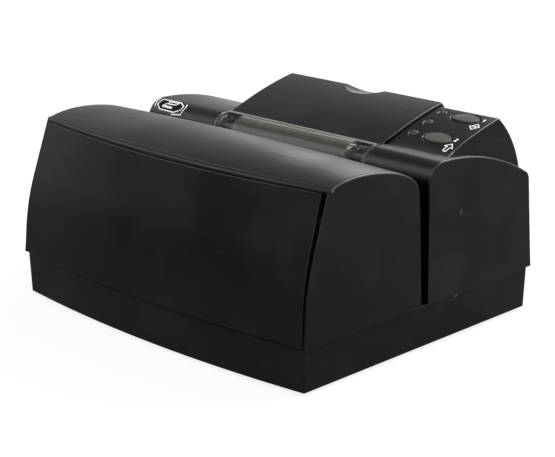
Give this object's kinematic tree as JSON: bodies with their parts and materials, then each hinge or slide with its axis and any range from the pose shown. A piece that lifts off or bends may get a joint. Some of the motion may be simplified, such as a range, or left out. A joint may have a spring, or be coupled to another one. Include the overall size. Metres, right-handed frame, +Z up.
{
  "type": "validation printer",
  "caption": "Counter printer in a bowed near-black case: an open form slot across its middle, a flip-up front cover, a roll cover with a clear tear bar, oval feed buttons and status lenses.",
  "frame": {"origin": "middle of the footprint, on the surface that the rubber feet stand on", "axes": "+X to the right as the user sits, across the width; +Y to the back; +Z up"},
  "size_m": [0.19, 0.1603, 0.0975],
  "materials": {
    "casing_black": "near-black moulded plastic with a fine satin grain",
    "inner_black": "dark grey moulded plastic",
    "clear_plastic": "clear moulded plastic, slightly smoked",
    "button_grey": "warm mid-grey satin plastic",
    "smoked_lens": "smoked glossy plastic",
    "white_plastic": "natural white nylon",
    "rubber": "black rubber",
    "steel": "turned bright steel",
    "sheet_steel": "zinc-plated sheet steel",
    "head_metal": "bare aluminium",
    "brass": "turned brass",
    "circuit_board": "green lacquered circuit board",
    "chip_black": "black chip resin",
    "cartridge_black": "smooth black plastic",
    "latch_blue": "blue plastic, the colour of touch points inside"
  },
  "bodies": {
    "printer": {"base_casing": "casing_black", "front_casing": "casing_black", "rear_casing": "casing_black", "rubber_feet": "rubber", "casing_screws": "steel", "cover_pivot_pins": "steel", "roll_cover_pin": "steel", "tear_bar": "clear_plastic", "exit_brackets": "inner_black", "pinch_axles": "steel", "button_switches": "inner_black", "status_lenses": "smoked_lens", "button_board": "circuit_board", "print_frame": "sheet_steel", "carriage_rod": "steel", "carriage_rail": "sheet_steel", "carriage_belt": "rubber", "carriage_motor": "steel", "receipt_head": "head_metal", "feed_motor": "steel", "gear_plate": "sheet_steel", "form_motor": "steel", "side_plate": "sheet_steel", "pinch_pivot_rod": "steel", "roll_bay": "inner_black", "main_board": "circuit_board", "board_parts": "chip_black", "data_socket": "cartridge_black", "power_jack": "cartridge_black"},
    "front_cover": {"front_cover": "casing_black"},
    "roll_cover": {"roll_cover": "casing_black"},
    "button_1": {"button_1": "button_grey"},
    "button_2": {"button_2": "button_grey"},
    "carriage": {"carriage": "inner_black", "ink_cartridge": "cartridge_black"},
    "cartridge_latch": {"cartridge_latch": "latch_blue"},
    "drive_pulley": {"drive_pulley": "brass"},
    "idler_pulley": {"idler_pulley": "white_plastic"},
    "exit_feed": {"exit_shaft": "steel", "exit_rollers": "rubber", "platen_roll": "rubber", "exit_gear": "white_plastic"},
    "idler_gear": {"idler_gear": "white_plastic"},
    "feed_pinion": {"feed_pinion": "brass"},
    "pinch_wheels": {"pinch_wheels": "white_plastic"},
    "form_feed": {"form_shaft": "steel", "form_rollers": "rubber", "form_gear": "white_plastic"},
    "form_pinion": {"form_pinion": "brass"},
    "form_pinch_arm": {"form_pinch_arm": "inner_black"},
    "form_pinch_rollers": {"form_pinch_rollers": "rubber"}
  },
  "joints": [
    {"name": "front_cover_hinge", "type": "hinge", "parent": "printer", "child": "front_cover", "pos_m": [0, -0.0568, 0.0715], "axis": [-1, 0, 0], "range_deg": [0, 70]},
    {"name": "roll_cover_hinge", "type": "hinge", "parent": "printer", "child": "roll_cover", "pos_m": [0, 0.0227, 0.0811], "axis": [1, 0, 0], "range_deg": [0, 80]},
    {"name": "button_1_press", "type": "slide", "parent": "printer", "child": "button_1", "axis": [0, 0.2245, -0.9745], "range_m": [0, 0.0012], "stiffness_N_per_m": 300, "springref_m": -0.0004},
    {"name": "button_2_press", "type": "slide", "parent": "printer", "child": "button_2", "axis": [0, 0.324, -0.9461], "range_m": [0, 0.0012], "stiffness_N_per_m": 300, "springref_m": -0.0004},
    {"name": "carriage_slide", "type": "slide", "parent": "printer", "child": "carriage", "axis": [1, 0, 0], "range_m": [0, 0.112]},
    {"name": "cartridge_latch_hinge", "type": "hinge", "parent": "carriage", "child": "cartridge_latch", "pos_m": [-0.057, -0.0345, 0.0425], "axis": [1, 0, 0], "range_deg": [0, 80]},
    {"name": "drive_pulley_spin", "type": "hinge", "parent": "printer", "child": "drive_pulley", "pos_m": [0.074, -0.0323, 0.0305], "axis": [0, 1, 0], "range_deg": [0, 1070.5]},
    {"name": "idler_pulley_spin", "type": "hinge", "parent": "printer", "child": "idler_pulley", "pos_m": [-0.074, -0.0323, 0.0305], "axis": [0, 1, 0], "range_deg": [0, 1070.5]},
    {"name": "exit_feed_spin", "type": "hinge", "parent": "printer", "child": "exit_feed", "pos_m": [0, 0.0182, 0.0715], "axis": [1, 0, 0], "continuous": true},
    {"name": "idler_gear_spin", "type": "hinge", "parent": "printer", "child": "idler_gear", "pos_m": [0.0625, 0.0295, 0.058], "axis": [1, 0, 0], "continuous": true},
    {"name": "feed_pinion_spin", "type": "hinge", "parent": "printer", "child": "feed_pinion", "pos_m": [0.0625, 0.0319, 0.0446], "axis": [1, 0, 0], "continuous": true},
    {"name": "pinch_wheel_spin", "type": "hinge", "parent": "printer", "child": "pinch_wheels", "pos_m": [0, 0.0113, 0.074], "axis": [1, 0, 0], "continuous": true},
    {"name": "form_feed_spin", "type": "hinge", "parent": "printer", "child": "form_feed", "pos_m": [0, 0.0123, 0.0335], "axis": [1, 0, 0], "continuous": true},
    {"name": "form_pinion_spin", "type": "hinge", "parent": "printer", "child": "form_pinion", "pos_m": [-0.063, 0.0207, 0.0335], "axis": [1, 0, 0], "continuous": true},
    {"name": "form_pinch_swing", "type": "hinge", "parent": "printer", "child": "form_pinch_arm", "pos_m": [0, -0.0073, 0.046], "axis": [1, 0, 0], "range_deg": [0, 24]},
    {"name": "form_pinch_roller_spin", "type": "hinge", "parent": "form_pinch_arm", "child": "form_pinch_rollers", "pos_m": [0, -0.0054, 0.033], "axis": [1, 0, 0], "continuous": true}
  ],
  "couplings": [
    {"joint": "drive_pulley_spin", "follows": "carriage_slide", "rad_per_m": 166.67},
    {"joint": "idler_pulley_spin", "follows": "carriage_slide", "rad_per_m": 166.67},
    {"joint": "idler_gear_spin", "follows": "exit_feed_spin", "ratio": -0.83333},
    {"joint": "feed_pinion_spin", "follows": "exit_feed_spin", "ratio": 2},
    {"joint": "pinch_wheel_spin", "follows": "exit_feed_spin", "ratio": -2.2727},
    {"joint": "form_pinion_spin", "follows": "form_feed_spin", "ratio": -1}
  ]
}
